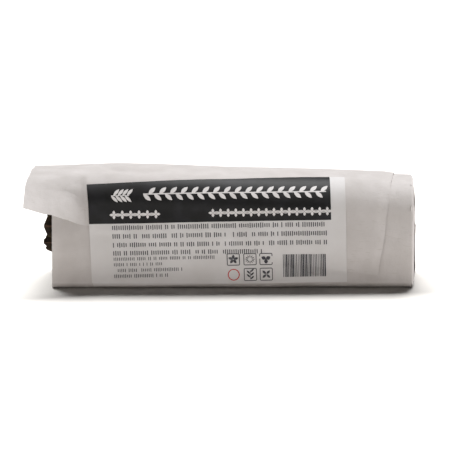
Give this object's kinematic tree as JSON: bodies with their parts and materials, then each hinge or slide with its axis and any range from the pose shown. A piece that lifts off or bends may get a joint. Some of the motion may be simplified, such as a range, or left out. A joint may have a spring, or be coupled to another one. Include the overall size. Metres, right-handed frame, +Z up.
{
  "type": "paper-wrapped herb smudge stick",
  "caption": "Bound bundle of dried leafy herb stems rolled in one sheet of matte paper, open at one end, folded shut at the other and held by a printed label.",
  "frame": {"origin": "on the surface the roll rests on, under the middle of the roll", "axes": "+X along the stick from its open leafy end to its folded end, -Y towards the labelled front, +Z up"},
  "size_m": [0.1072, 0.0373, 0.0316],
  "materials": {
    "wrapping_paper": "matte",
    "label_paper": "satin",
    "dried_leaf": "matte",
    "cotton_thread": "matte"
  },
  "bodies": {
    "root": {"paper_wrap": "wrapping_paper", "label": "label_paper", "leafy_stem_1": "dried_leaf", "leafy_stem_2": "dried_leaf", "leafy_stem_3": "dried_leaf", "leafy_stem_4": "dried_leaf", "leafy_stem_5": "dried_leaf", "leafy_stem_6": "dried_leaf", "leafy_stem_7": "dried_leaf", "binding_thread": "cotton_thread"}
  },
  "joints": []
}
